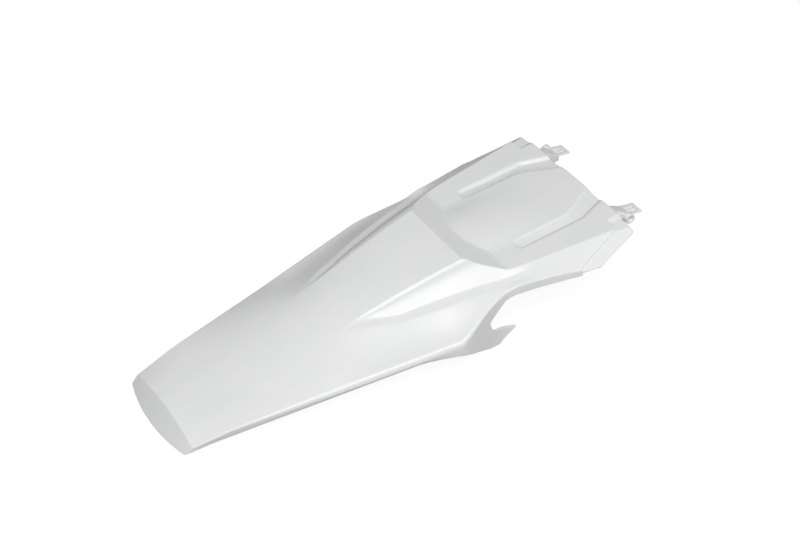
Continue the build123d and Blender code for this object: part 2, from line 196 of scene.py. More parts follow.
# Height of the moulding before the seat and the tail cut it: a crowned parabola out to the crease,
# then one cubic between each pair of section lines, straight on past the lip
def bodyHeight(x, y):
    ys, zs, before, after, top = sectionLines(x)
    z = top - (top - zs[0]) * (y / ys[0]) ** 2
    for i in range(4):
        w = ys[i + 1] - ys[i]
        t = (y - ys[i]) / w
        h = (2 * t**3 - 3 * t**2 + 1) * zs[i] + (t**3 - 2 * t**2 + t) * w * after[i]
        h = h + (3 * t**2 - 2 * t**3) * zs[i + 1] + (t**3 - t**2) * w * before[i + 1]
        z = np.where(y > ys[i], h, z)
    return np.where(y > ys[4], zs[4] + after[4] * (y - ys[4]), z)


def platformHeight(x):
    return seat["platformZ"] + seat["platformSlope"] * (x - seat["platformX"])


# Step down from the crest and the platform ahead of it, filleted at the foot
def recessHeight(x):
    step = deck["crestZ"] + seat["stepSlope"] * (x - deck["crestX"])
    return softMax(step, platformHeight(x), seat["foot"])


def humpEdges(x):
    narrow = np.maximum(x - hump["bendX"], 0.0) / (shell["frontX"] - hump["bendX"])
    return mix(hump["halfWidth"], hump["frontHalfWidth"], narrow)


def grooveEdges(x):
    narrow = np.maximum(x - groove["bendX"], 0.0) / (shell["frontX"] - groove["bendX"])
    return humpEdges(x), mix(groove["halfWidth"], groove["frontHalfWidth"], narrow)


def grooveDepth(x):
    g = groove
    depth = mix(g["depth"], g["frontDepth"], ease((x - g["rearX"]) / (shell["frontX"] - g["rearX"])))
    return depth * mix(g["rearShare"], 1.0, ease((x - g["rearX"]) / g["rearRamp"]))


# Seat side of the moulding: the recess, a crowned hump with a narrow ledge along its foot,
# a groove beside it with a leaning outer wall, a round rear end and a floor that climbs to the ledge,
# and a ramp down to each front corner
def seatHeight(x, y):
    flat = platformHeight(x)
    crown = mix(hump["crown"], hump["crownFront"], ease((x - hump["fadeX"]) / hump["fadeLength"]))
    edge = humpEdges(x)
    bulge = crown * (1.0 - (y / (edge - hump["ledge"])) ** hump["crownPower"])
    bulge = softMax(bulge, 0.0 * y, hump["soft"])
    rise = np.maximum(hump["rim"] + bulge - hump["sideSlope"] * np.maximum(y - edge, 0.0), 0.0)
    z = softMax(recessHeight(x), flat + rise, hump["rearEdge"])
    inner, outer = grooveEdges(x)
    a = x - groove["rearX"]
    b = np.minimum(y - inner, outer - y)
    r = groove["endRadius"]
    inside = np.minimum(a, b)
    rounded = r - np.hypot(np.maximum(r - a, 0.0), np.maximum(r - b, 0.0))
    inside = np.where((a < r) & (b < r), rounded, inside)
    across = np.clip((y - inner) / (outer - inner), 0.0, 1.0)
    floor = mix(groove["innerDepth"], grooveDepth(x), across * (2.0 - across))
    z = softMin(z, flat - np.minimum(floor, inside / groove["lean"]), groove["soft"])
    ramp = np.clip((y - corner["innerY"]) / corner["ramp"], 0.0, 1.0)
    return np.where(x > corner["x"] + 0.5 * corner["step"], z - corner["drop"] * ramp, z)


def capArch(y):
    return cap["planRadius"] - np.sqrt(cap["planRadius"] ** 2 - y**2)


def capHeight(x, y):
    return (x - cap["x"] - capArch(y)) / cap["lean"]


# Lower rim of the tail and of the lips, less the round of its edge
def lipLow(x):
    return lip["startZ"] - lip["depth"] + lip["rise"] * x + shell["edgeRadius"]


def topHeight(x, y):
    z = softMin(bodyHeight(x, y), seatHeight(x, y), seat["crestEdge"])
    z = np.where(x < deck["crestX"] - seat["reach"], bodyHeight(x, y), z)
    return softMin(z, capHeight(x, y), cap["edge"])


# Where a height that falls outwards between two widths meets a level, by halving the gap
def widthAt(height, x, level, low, high):
    for _ in range(40):
        middle = 0.5 * (low + high)
        above = height(x, middle) > level
        low, high = np.where(above, middle, low), np.where(above, high, middle)
    return 0.5 * (low + high)


# Polyline with some corners replaced by arcs, as an array of points
def roundCorners(corners, radii, n=9):
    points = []
    for i, here in enumerate(corners):
        here = np.array(here, float)
        r = radii.get(i, 0.0)
        if r == 0.0:
            points.append(here[None])
            continue
        back = np.array(corners[i - 1], float) - here
        on = np.array(corners[i + 1], float) - here
        back, on = back / np.hypot(*back), on / np.hypot(*on)
        half = 0.5 * math.acos(float(np.clip(back @ on, -1.0, 1.0)))
        bisector = (back + on) / np.hypot(*(back + on))
        centre = here + bisector * r / math.sin(half)
        start = here + back * r / math.tan(half) - centre
        end = here + on * r / math.tan(half) - centre
        t = np.linspace(0.0, 1.0, n)[:, None]
        arc = (1.0 - t) * start + t * end
        points.append(centre + arc * r / np.linalg.norm(arc, axis=1, keepdims=True))
    return np.vstack(points)


plate = dict(
    lipEndX=266.0, breakPoint=(312.0, 29.8), heel=(361.2, 4.2), prongLow=(375.7, 1.4), prongTip=(396.4, 18.2),
    notchFloor=(363.9, 26.4), notchBack=(356.7, 43.6), notchRoof=(387.0, 65.9), bandEnd=(473.8, 67.5),
    lipEndRadius=90.0, breakRadius=45.0, heelRadius=12.0, notchRadius=6.0, roofRadius=30.0,
    bandTopX=475.3, tailX=-60.0, splitX=306.0,
)
lowerLine = roundCorners(
    [(plate["tailX"], lipLow(plate["tailX"])), (plate["lipEndX"], lipLow(plate["lipEndX"])),
     plate["breakPoint"], plate["heel"], plate["prongLow"]],
    {1: plate["lipEndRadius"], 2: plate["breakRadius"], 3: plate["heelRadius"]})
notchLine = roundCorners(
    [plate["prongTip"], plate["notchFloor"], plate["notchBack"], plate["notchRoof"], plate["bandEnd"]],
    {1: plate["notchRadius"], 2: plate["notchRadius"], 3: plate["roofRadius"]}, 13)
turnAt = int(np.argmin(notchLine[:, 0]))
notchX, notchZ = notchLine[turnAt]
prongTop = notchLine[:turnAt + 1][::-1]
bandLow = notchLine[turnAt:]
print("side plate outline", notchLine.shape, round(float(notchX), 1), round(float(notchZ), 1))

# Rows along the fender: stations with a count of steps up to each, crowded at every station.
# Rows from -2 to -1 climb the tail cap, and rows from -1 to 0 run from its upper edge to the first station.
rowPlan = [(60.0, 16), (190.0, 30), (plate["splitX"], 34), (deck["crestX"], 24), (float(notchX), 5),
           (392.0, 22), (groove["rearX"], 20), (lip["fallX"], 10), (plate["bandTopX"], 14), (512.0, 14),
           (corner["x"], 12), (corner["x"] + corner["step"], 1), (shell["frontX"], 14)]
capRows = 12
rows = [crowd(capRows) - 2.0, -1.0 + crowd(rowPlan[0][1])[1:]]
for (x0, _), (x1, n) in zip(rowPlan[:-1], rowPlan[1:]):
    rows.append(x0 + (x1 - x0) * crowd(n)[1:])
rows = np.concatenate(rows)

# Columns across the top skin: steps between the section lines, and where the seat's columns lie
# behind the crest, as shares of the crease's width
columns = dict(
    steps=[14, 3, 5, 5, 5, 6, 5, 5, 4, 8, 5, 9], seatShares=[0.55, 0.62, 0.69, 0.78, 0.86], sideShare=0.93,
    footShare=0.965, settle=28.0, sideMiddle=0.5, footMiddle=0.7, cornerX=480.0, cornerLength=40.0,
    leastGap=1.8, ridgeGap=1.2, wallFoot=1.0, flankGap=0.1, flankMost=(0.25, 0.6, 0.85),
)
columnSteps = columns["steps"]
footColumn = sum(columnSteps[:7])


# Top skin: columns run from the middle line out to the lip on the section lines.
# Ahead of the crest, the crease column follows the shoulder where the seat cuts the flank.
def columnWidths(x):
    c = columns
    ys = sectionLines(x)[0]
    ahead = x > deck["crestX"]
    safe = np.maximum(x, deck["crestX"] + 0.01)
    safeYs = sectionLines(safe)[0]
    shoulder = widthAt(bodyHeight, safe, recessHeight(safe), safeYs[0] * 0.98, safeYs[4])
    # The shell's front corner is rounded in plan
    nose = np.clip(x - corner["x"] + corner["radius"], 0.0, corner["radius"])
    shoulder = shoulder - corner["radius"] + np.sqrt(corner["radius"] ** 2 - nose**2)
    crease = np.where(ahead, shoulder, ys[0])
    valley = np.maximum(ys[1], crease + c["leastGap"])
    shelf = np.maximum(ys[2], valley + c["leastGap"])
    ridge = np.maximum(ys[3], shelf + c["ridgeGap"])
    # Slanted front edge of the flank, from the end of the band up to the shell's front corner
    cut = np.interp(x, [plate["bandTopX"], corner["x"]],
                    [float(lipLine(np.array(plate["bandTopX"]))[1]), float(recessHeight(corner["x"]))])
    edge = widthAt(bodyHeight, safe, cut, crease, safeYs[4] + 1.0)
    edge = mix(edge, crease, (nose / corner["radius"]) ** 2)
    front = x > plate["bandTopX"]
    outer = np.where(x > corner["x"] - 1e-6, crease, np.where(front, edge, ys[4]))
    share = np.clip((outer - crease) / np.maximum(ys[4] - crease, 1e-6), 0.0, 1.0)
    valley, shelf, ridge = [np.where(front, crease + (w - crease) * share, w) for w in (valley, shelf, ridge)]
    gap = np.maximum(outer - crease, 0.0)
    most = [crease + s * gap for s in c["flankMost"]]
    valley = np.minimum(valley, most[0])
    shelf = np.minimum(np.maximum(shelf, valley + c["flankGap"] * gap), most[1])
    ridge = np.minimum(np.maximum(ridge, shelf + c["flankGap"] * gap), most[2])
    settle = ease((x - deck["crestX"]) / c["settle"])
    humpEdge = humpEdges(x)
    grooveOuter = grooveEdges(x)[1]
    run = grooveDepth(x) * groove["lean"]
    wanted = [humpEdge - hump["ledge"], humpEdge, humpEdge + c["wallFoot"], grooveOuter - run, grooveOuter]
    seatColumns = [mix(s * crease, w, settle) for s, w in zip(c["seatShares"], wanted)]
    forward = ease((x - c["cornerX"]) / c["cornerLength"])
    side = mix(mix(grooveOuter, crease, c["sideMiddle"]), corner["innerY"], forward)
    foot = mix(mix(grooveOuter, crease, c["footMiddle"]), corner["innerY"] + corner["ramp"], forward)
    side, foot = mix(c["sideShare"] * crease, side, settle), mix(c["footShare"] * crease, foot, settle)
    return [np.zeros_like(x)] + seatColumns + [side, foot, crease, valley, shelf, ridge, outer]


# Plan position of each row and column. Behind the first station the rows bend to follow the arched tail cap.
def planGrid():
    u = np.repeat(rows[:, None], sum(columnSteps) + 1, axis=1)
    x = np.maximum(u, 0.0)
    for _ in range(6):
        features = columnWidths(x)
        index = np.concatenate([[0]] + [np.full(n, i) for i, n in enumerate(columnSteps)])
        # Each column reads the section lines at its own x
        parts = []
        for i in range(sum(columnSteps) + 1):
            k = index[i]
            start = 0 if k == 0 else sum(columnSteps[:k])
            t = crowd(columnSteps[k])[i - start]
            parts.append(mix(features[k][:, i], features[k + 1][:, i], t))
        y = np.stack(parts, axis=1)
        low = (cap["x"] + capArch(y) + cap["lean"] * lipLow(0.0)) / (1.0 - cap["lean"] * lip["rise"])
        edge = np.zeros_like(y)
        for _ in range(6):
            edge = cap["x"] + capArch(y) + cap["lean"] * bodyHeight(edge, y)
        bent = np.where(u < -1.0, mix(low, edge, u + 2.0), mix(edge, rowPlan[0][0], u + 1.0))
        x = np.where(u <= 0.0, bent, u)
    return x, y


topX, topY = planGrid()
topZ = topHeight(topX, topY)
print("top skin", topX.shape)

# Lip roll and side wall: a quarter turn from the lip into an upright wall, down to a split line
# and on to the lower outline, tucked in below. The roll shrinks where the tail cap cuts the lip short.
wallSteps = dict(roll=8, upper=8, lower=8)
behind = rows <= plate["bandTopX"] + 1e-6
behindNotch = rows <= notchX + 1e-6
wallX = topX[behind, -1]
startY, startZ = topY[behind, -1], topZ[behind, -1]
fullLip = lipLine(wallX)[1]
lowZ = np.interp(wallX, lowerLine[:, 0], lowerLine[:, 1])
bandZ = np.interp(wallX, bandLow[:, 0], bandLow[:, 1])
floorZ = np.where(wallX > notchX, bandZ, lowZ)
radius = lipRadius(wallX) * np.sqrt(np.clip((startZ - lowZ) / (fullLip - lowZ), 0.0, 1.0))
slope = sectionLines(wallX)[3][4]
sideY = startY + radius
sideZ = startZ - lip["rollDrop"] * radius * np.minimum(1.0, (startZ - floorZ) / (2.0 * radius + 1e-6))
t = np.linspace(0.0, 1.0, wallSteps["roll"] + 1)
pull = lip["rollPull"] * radius
rollY = ((1 - t) ** 3 * startY[:, None] + 3 * (1 - t) ** 2 * t * (startY + pull)[:, None]
         + (3 * (1 - t) * t**2 + t**3) * sideY[:, None])
rollZ = ((1 - t) ** 3 * startZ[:, None] + 3 * (1 - t) ** 2 * t * (startZ + slope * pull)[:, None]
         + 3 * (1 - t) * t**2 * mix(sideZ, startZ, lip["rollPull"])[:, None] + t**3 * sideZ[:, None])
splitZ = mix(0.5 * (sideZ + lowZ), notchZ, ease((wallX - plate["splitX"]) / (notchX - plate["splitX"])))
splitZ = np.where(wallX > notchX, bandZ, splitZ)
upperZ = sideZ[:, None] + (splitZ - sideZ)[:, None] * crowd(wallSteps["upper"])[1:]
wallZ = np.concatenate([rollZ, upperZ], axis=1)
# The wall leans in below the roll, more so towards the lower rim, and stands upright on the side plate
tuck = lip["tuck"] * ease(wallX / lip["tuckLength"])
tuck = tuck * (1.0 - ease((wallX - lip["tuckEnd"]) / lip["tuckFade"]))


def tucked(z):
    share = np.clip((sideZ[:, None] - z) / np.maximum(sideZ - lowZ, 0.1)[:, None], 0.0, 1.0)
    return sideY[:, None] - tuck[:, None] * share ** lip["tuckPower"]


wallY = np.concatenate([rollY, tucked(upperZ)], axis=1)
wallGrid = np.stack([np.repeat(wallX[:, None], wallZ.shape[1], axis=1), wallY, wallZ], axis=-1)
skirtZ = splitZ[:, None] + (lowZ - splitZ)[:, None] * crowd(wallSteps["lower"])
skirtGrid = np.stack([np.repeat(wallX[:, None], skirtZ.shape[1], axis=1), tucked(skirtZ), skirtZ], axis=-1)
skirtGrid = skirtGrid[behindNotch[behind]]


# Points at even shares of a polyline's length
def alongLine(line, shares):
    length = np.concatenate([[0.0], np.cumsum(np.hypot(*np.diff(line, axis=0).T))])
    return np.stack([np.interp(shares * length[-1], length, line[:, i]) for i in range(2)], axis=-1)


# Prong: straight lines from the notch's lower edge down to the heel, on the upright wall
prongSteps = 18
shares = crowd(prongSteps)
under = lowerLine[lowerLine[:, 0] > notchX]
under = np.vstack([[notchX, np.interp(notchX, lowerLine[:, 0], lowerLine[:, 1])], under])
upperEdge, lowerEdge = alongLine(prongTop, shares), alongLine(under, shares)
prongXZ = upperEdge[:, None] + (lowerEdge - upperEdge)[:, None] * crowd(wallSteps["lower"])[None, :, None]
prongY = lipLine(prongXZ[..., 0])[0] + lipRadius(prongXZ[..., 0])
prongGrid = np.stack([prongXZ[..., 0], prongY, prongXZ[..., 1]], axis=-1)
topGrid = np.stack([topX, topY, topZ], axis=-1)
wallGrid[:, 0] = topGrid[behind, -1]
topMask = ~((rows[:-1, None] > corner["x"] - 1e-6) & (np.arange(sum(columnSteps))[None] >= footColumn))
print("side walls", wallGrid.shape, skirtGrid.shape, prongGrid.shape)


# Quads of a grid, numbered from a first vertex
def gridFaces(n, m, first=0):
    k = first + np.arange(n * m).reshape(n, m)
    return np.stack([k[:-1, :-1], k[1:, :-1], k[1:, 1:], k[:-1, 1:]], axis=-1).reshape(-1, 4)


# One sheet from several grids and their mirror images, with shared points merged and empty faces left out.
# Where a grid has a mask, it says which of its cells are kept.
def joinGrids(grids, masks=()):
    points, faces, first = [], [], 0
    for i, grid in enumerate(grids):
        quads = gridFaces(grid.shape[0], grid.shape[1], first)
        quads = quads[masks[i].reshape(-1)] if i < len(masks) else quads
        points.append(grid.reshape(-1, 3))
        faces.append(quads)
        first += grid.shape[0] * grid.shape[1]
        points.append(grid.reshape(-1, 3) * [1.0, -1.0, 1.0])
        faces.append(quads[:, ::-1] + grid.shape[0] * grid.shape[1])
        first += grid.shape[0] * grid.shape[1]
    points, faces = np.vstack(points), np.vstack(faces)
    places = np.round(points / drawing["merge"]).astype(np.int64)
    _, keep, remap = np.unique(places, axis=0, return_index=True, return_inverse=True)
    faces = remap.reshape(-1)[faces]
    ranked = np.sort(faces, axis=1)
    faces = faces[(np.diff(ranked, axis=1) > 0).sum(axis=1) >= 2]
    points = points[keep]
    used, faces = np.unique(faces, return_inverse=True)
    return points[used], faces.reshape(-1, 4)


def faceNormals(points, faces):
    return np.cross(points[faces[:, 2]] - points[faces[:, 0]], points[faces[:, 3]] - points[faces[:, 1]])


def unit(v):
    return v / np.maximum(np.linalg.norm(v, axis=1, keepdims=True), 1e-12)


# Closed wall from a sheet: the sheet itself, the same sheet moved inwards along its normals,
# and a rim around every free edge whose two corners are quarter rounds.
# The normals are averaged with their neighbours first, so that the inner sheet doesn't fold at creases.
def thicken(points, faces, wall, edgeRadius, passes):
    normals = np.zeros_like(points)
    raw = faceNormals(points, faces)
    for k in range(4):
        np.add.at(normals, faces[:, k], raw)
    normals = unit(normals)
    halfEdges = np.stack([faces, np.roll(faces, -1, axis=1)], axis=-1).reshape(-1, 2)
    halfEdges = halfEdges[halfEdges[:, 0] != halfEdges[:, 1]]
    for _ in range(passes):
        total = normals.copy()
        np.add.at(total, halfEdges[:, 0], 0.5 * normals[halfEdges[:, 1]])
        np.add.at(total, halfEdges[:, 1], 0.5 * normals[halfEdges[:, 0]])
        normals = unit(total)
    size = len(points)
    code, back = halfEdges[:, 0] * size + halfEdges[:, 1], halfEdges[:, 1] * size + halfEdges[:, 0]
    free = halfEdges[~np.isin(code, back)]
    away = np.zeros_like(points)
    out = np.cross(points[free[:, 1]] - points[free[:, 0]], normals[free[:, 0]] + normals[free[:, 1]])
    np.add.at(away, free[:, 0], out)
    np.add.at(away, free[:, 1], out)
    ring = np.unique(free)
    place = np.full(size, -1)
    place[ring] = np.arange(len(ring))
    n, d = normals[ring], away[ring]
    d = unit(d - n * np.sum(d * n, axis=1, keepdims=True))
    r = edgeRadius
    s = math.sqrt(0.5)
    steps = [(r * s, r * (1 - s)), (r, r), (r, wall - r), (r * s, wall - r * (1 - s))]
    rim = [points[ring] + d * a - n * b for a, b in steps]
    inner = points - normals * wall
    vertices = np.vstack([points, inner] + rim)
    levels = [ring] + [2 * size + k * len(ring) + np.arange(len(ring)) for k in range(4)] + [ring + size]
    a, b = place[free[:, 0]], place[free[:, 1]]
    strips = [np.stack([up[b], up[a], low[a], low[b]], axis=-1) for up, low in zip(levels[:-1], levels[1:])]
    return vertices, np.vstack([faces, faces[:, ::-1] + size] + strips)


# Mesh object from millimetre points and quads; a quad with two equal corners becomes a triangle
def putMesh(name, points, faces, material):
    points = (points + [drawing["shiftX"], 0.0, drawing["shiftZ"]]) / 1000.0
    different = faces != np.roll(faces, 1, axis=1)
    count = different.sum(axis=1)
    quads, thirds = faces[count == 4], faces[count == 3]
    thirds = thirds[different[count == 3]].reshape(-1, 3)
    mesh = bpy.data.meshes.new(name)
    mesh.from_pydata(points.tolist(), [], quads.tolist() + thirds.tolist())
    mesh.validate()
    mesh.update()
    mesh.polygons.foreach_set("use_smooth", np.ones(len(mesh.polygons), bool))
    mesh.set_sharp_from_angle(angle=math.radians(drawing["sharpAngle"]))
    mesh.materials.append(material)
    piece = bpy.data.objects.new(name, mesh)
    bpy.context.scene.collection.objects.link(piece)
    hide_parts("rear_fender")
    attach(piece, "root")
    print(name, len(points), "points", sum(len(q.vertices) - 2 for q in mesh.polygons), "triangles")


# sRGB hex to linear
def hexColour(text):
    c = np.array([int(text[i:i + 2], 16) for i in (0, 2, 4)]) / 255.0
    linear = np.where(c <= 0.04045, c / 12.92, ((c + 0.055) / 1.055) ** 2.4)
    return (*linear.tolist(), 1.0)


# Adds a node with its settings, fixed inputs and links
def addNode(tree, kind, settings=None, inputs=None, links=None):
    node = tree.nodes.new(kind)
    for key, value in (settings or {}).items():
        setattr(node, key, value)
    for key, value in (inputs or {}).items():
        node.inputs[key].default_value = value
    for key, source in (links or {}).items():
        tree.links.new(source, node.inputs[key])
    return node


# Lengths in millimetres
finish = dict(
    white="eeeeed", shade="e6e7e8", smoothest=0.29, roughest=0.4, ior=1.49, flowLength=160.0, flowWidth=22.0,
    peel=2.4, peelHeight=0.02, peelStrength=0.25, milkiness=0.15, milkDepth=1.5,
)


# Polypropylene, injection moulded in a polished tool: an even, slightly milky white with a soft wide
# gloss, faint streaks along the flow of the melt, and a fine orange peel that breaks up reflections
def mouldedPolypropylene():
    material = bpy.data.materials.new("mouldedWhitePolypropylene")
    material.use_nodes = True
    tree = material.node_tree
    tree.nodes.clear()
    f = finish
    along, across = 1000.0 / f["flowLength"], 1000.0 / f["flowWidth"]
    coords = addNode(tree, "ShaderNodeTexCoord")
    flowScale = addNode(tree, "ShaderNodeMapping", inputs={"Scale": (along, across, across)},
                        links={"Vector": coords.outputs["Object"]})
    flow = addNode(tree, "ShaderNodeTexNoise", inputs={"Scale": 1.0, "Detail": 3.0, "Roughness": 0.5},
                   links={"Vector": flowScale.outputs["Vector"]})
    tint = addNode(tree, "ShaderNodeMix", {"data_type": "RGBA"}, links={"Factor": flow.outputs["Fac"]})
    tint.inputs[6].default_value = hexColour(f["white"])
    tint.inputs[7].default_value = hexColour(f["shade"])
    gloss = addNode(tree, "ShaderNodeMapRange",
                    inputs={"To Min": f["smoothest"], "To Max": f["roughest"]},
                    links={"Value": flow.outputs["Fac"]})
    peel = addNode(tree, "ShaderNodeTexNoise", inputs={"Scale": 1000.0 / f["peel"], "Detail": 1.0},
                   links={"Vector": coords.outputs["Object"]})
    bump = addNode(tree, "ShaderNodeBump",
                   inputs={"Strength": f["peelStrength"], "Distance": f["peelHeight"] / 1000.0},
                   links={"Height": peel.outputs["Fac"]})
    shader = addNode(tree, "ShaderNodeBsdfPrincipled",
                     inputs={"IOR": f["ior"], "Subsurface Weight": f["milkiness"],
                             "Subsurface Radius": (1.0, 1.0, 1.0),
                             "Subsurface Scale": f["milkDepth"] / 1000.0},
                     links={"Base Color": tint.outputs[2], "Roughness": gloss.outputs["Result"],
                            "Normal": bump.outputs["Normal"]})
    addNode(tree, "ShaderNodeOutputMaterial", links={"Surface": shader.outputs["BSDF"]})
    return material


whitePlastic = mouldedPolypropylene()
sheet, quads = joinGrids([topGrid, wallGrid, skirtGrid, prongGrid], [topMask])
closed, closedFaces = thicken(sheet, quads, shell["wall"], shell["edgeRadius"], shell["normalPasses"])
# The tail's lower rim is cut off on the line of the lips
rimZ = np.maximum(closed[:, 2], lipLow(closed[:, 0]) - shell["edgeRadius"])
closed[:, 2] = np.where(closed[:, 0] < shell["tailCut"], rimZ, closed[:, 2])
putMesh("fenderShell", closed, closedFaces, whitePlastic)

flap = dict(
    wall=2.6, edge=0.6, rearX=529.0, rearLow=(466.0, 72.5), low=(499.0, 73.2), tip=(555.0, 90.4),
    tipRadius=1.6, turnRadius=1.6, rearInset=1.6, rearFade=2.5, innerY=83.0,
    rowSteps=16, topSteps=8, roundSteps=6, sideSteps=30,
)


# Flank plane carried on ahead of the slanted edge: width at a place and a height, and its fall per width
def flankPlane(x, z):
    shoulderY, shoulderZ = shoulderLine(x)
    lipY, lipZ = lipLine(x)
    slope = (shoulderZ - lipZ) / (lipY - shoulderY)
    return shoulderY + (shoulderZ - z) / slope, slope


# Front corner and flap in one layer below and inside the shell. Each row runs out over the lowered corner,
# turns down on an arc to the flank's own slope and follows that plane to the flap's outline,
# on straight lines between a rear line behind the flank and the front edge.
def flapGrid():
    f, r = flap, flap["turnRadius"]
    t = np.linspace(0.0, 1.0, f["rowSteps"] + 1)
    topX = mix(f["rearX"], shell["frontX"] - f["edge"], t)
    level = platformHeight(topX) - corner["drop"]
    foot = corner["innerY"] + corner["ramp"]
    edgeY, slope = flankPlane(topX, level)
    # Where the gently falling corner meets the flank's plane
    edgeY = edgeY - corner["inset"]
    edgeY = edgeY + corner["slope"] * (edgeY - foot) / (slope - corner["slope"])
    edgeZ = level - corner["slope"] * (edgeY - foot)
    low, angle = np.arctan(corner["slope"]), np.arctan(slope)
    reach = r * np.tan(0.5 * (angle - low))
    startY, startZ = edgeY - reach * np.cos(low), edgeZ + reach * np.sin(low)
    a = np.linspace(0.0, 1.0, f["topSteps"] + 1)[None]
    b = low + (angle - low)[:, None] * np.linspace(0.0, 1.0, f["roundSteps"] + 1)[None, 1:]
    roofY = mix(f["innerY"], startY[:, None], a)
    roofZ = level[:, None] - corner["slope"] * np.maximum(roofY - foot, 0.0)
    turnY = startY[:, None] + r * (np.sin(b) - np.sin(low))
    turnZ = startZ[:, None] + r * (np.cos(b) - np.cos(low))
    share = np.linspace(0.0, 1.0, f["sideSteps"] + 1)
    rear = alongLine(np.array([(topX[0], turnZ[0, -1]), f["rearLow"]]), share)
    front = roundCorners([(topX[-1], turnZ[-1, -1]), f["tip"], f["low"]], {1: f["tipRadius"]})
    front = alongLine(front, share)
    xz = rear[None] + (front - rear)[None] * t[:, None, None]
    # The first line of the flap is the arc's own lower edge, so the rows join without a gap
    xz[:, 0] = np.stack([topX, turnZ[:, -1]], axis=-1)
    sideY = flankPlane(xz[..., 0], xz[..., 1])[0] - mix(corner["inset"], corner["lowInset"], share)[None]
    sideY = sideY - f["rearInset"] * np.maximum(1.0 - f["rearFade"] * t, 0.0)[:, None] * share[None]
    roofX = np.repeat(topX[:, None], roofY.shape[1] + turnY.shape[1], axis=1)
    x = np.concatenate([roofX, xz[:, 1:, 0]], axis=1)
    y = np.concatenate([roofY, turnY, sideY[:, 1:]], axis=1)
    z = np.concatenate([roofZ, turnZ, xz[:, 1:, 1]], axis=1)
    return np.stack([x, y, z], axis=-1)


sheet, quads = joinGrids([flapGrid()])
closed, closedFaces = thicken(sheet, quads, flap["wall"], flap["edge"], 2)
putMesh("cornerFlaps", closed, closedFaces, whitePlastic)

tongue = dict(
    middleY=69.7, width=17.4, wall=1.7, edge=0.5, rootX=528.0, rootSink=0.8,
    fall=(563.0, 91.3), bend=(575.0, 86.2), tip=(593.5, 83.0), slots=2, slotWidth=3.6, slotStart=574.5,
    slotEnd=589.8, rootCut=4.0, cutX=560.0, cutLength=14.0, stepsBetween=12,
)


# Smooth line through known points: cubics whose slope at each point is that of the chord past it
def smoothLine(known, x):
    known = np.array(known, float)
    px, pz = known[:, 0], known[:, 1]
    chord = np.diff(pz) / np.diff(px)
    slope = np.concatenate([chord[:1], (pz[2:] - pz[:-2]) / (px[2:] - px[:-2]), chord[-1:]])
    i = np.clip(np.searchsorted(px, x) - 1, 0, len(px) - 2)
    w = px[i + 1] - px[i]
    t = (x - px[i]) / w
    z = (2 * t**3 - 3 * t**2 + 1) * pz[i] + (t**3 - 2 * t**2 + t) * w * slope[i]
    return z + (3 * t**2 - 2 * t**3) * pz[i + 1] + (t**3 - t**2) * w * slope[i + 1]


# Tongue: a strip that falls from the underside of the platform on a smooth line and levels out to its tip,
# with long slots left out between its fingers
def tongueGrid():
    g = tongue
    frontX, wall = shell["frontX"], shell["wall"]
    known = [(g["rootX"], platformHeight(g["rootX"]) - g["rootSink"] * wall),
             (frontX - wall, platformHeight(frontX) - wall), g["fall"], g["bend"], g["tip"]]
    stops = [g["rootX"], frontX, g["slotStart"], g["slotEnd"], g["tip"][0]]
    n = g["stepsBetween"] + 1
    x = np.concatenate([[stops[0]]] + [np.linspace(a, b, n)[1:] for a, b in zip(stops[:-1], stops[1:])])
    pitch = g["width"] / (g["slots"] + 1)
    middles = g["middleY"] - g["width"] / 2.0 + pitch * np.arange(1, g["slots"] + 1)
    y = np.sort(np.concatenate([[g["middleY"] - g["width"] / 2.0, g["middleY"] + g["width"] / 2.0],
                                middles - g["slotWidth"] / 2.0, middles + g["slotWidth"] / 2.0]))
    z = smoothLine(known, x)
    # The outer side is cut back at the root
    cutBack = g["rootCut"] * (1.0 - ease((x - g["cutX"]) / g["cutLength"]))
    share = np.clip((y - g["middleY"]) / (0.5 * g["width"]), 0.0, 1.0)
    width = y[None] - cutBack[:, None] * share[None]
    grid = np.stack(np.broadcast_arrays(x[:, None], width, z[:, None]), axis=-1)
    middleX = 0.5 * (x[1:] + x[:-1])
    cut = (middleX > g["slotStart"]) & (middleX < g["slotEnd"])
    mask = ~(cut[:, None] & (np.arange(len(y) - 1) % 2 == 1)[None])
    return grid, mask


grid, mask = tongueGrid()
sheet, quads = joinGrids([grid], [mask])
closed, closedFaces = thicken(sheet, quads, tongue["wall"], tongue["edge"], 0)
putMesh("seatTongues", closed, closedFaces, whitePlastic)

boss = dict(
    x=572.6, z=82.4, radius=6.4, coreRadius=4.3, bore=3.2, innerY=62.0, collarY=77.5, outerY=84.0,
    edge=0.6, easing=0.3, sink=0.6, steps=64,
)
web = dict(
    places=(63.2, 77.5), wall=2.8, edge=0.5, frontSink=1.6, underSink=2.0, bossReach=0.6, bossTop=0.4,
    bossLow=0.7, heelBack=2.0, heelUp=0.6, steps=16, rows=6,
)


# Boss: a ring profile with eased corners turned about the screw's axis, thinner where the tongue lies over it
def bossGrid():
    b = boss
    e, k, m = b["edge"], b["sink"], b["easing"] * b["edge"]
    profile = np.array([
        (b["bore"] + k, b["innerY"]), (b["bore"], b["innerY"] + k), (b["bore"], b["outerY"] - k),
        (b["bore"] + k, b["outerY"]), (b["radius"] - e, b["outerY"]), (b["radius"] - m, b["outerY"] - m),
        (b["radius"], b["outerY"] - e), (b["radius"], b["collarY"] + e), (b["radius"] - m, b["collarY"] + m),
        (b["radius"] - e, b["collarY"]), (b["coreRadius"], b["collarY"]), (b["coreRadius"], b["innerY"]),
        (b["bore"] + k, b["innerY"])])
    turn = np.linspace(0.0, 2.0 * np.pi, b["steps"] + 1)[:, None]
    y = np.repeat(profile[None, :, 1], b["steps"] + 1, axis=0)
    x, z = b["x"] + profile[:, 0] * np.sin(turn), b["z"] + profile[:, 0] * np.cos(turn)
    return np.stack([x, y, z], axis=-1)


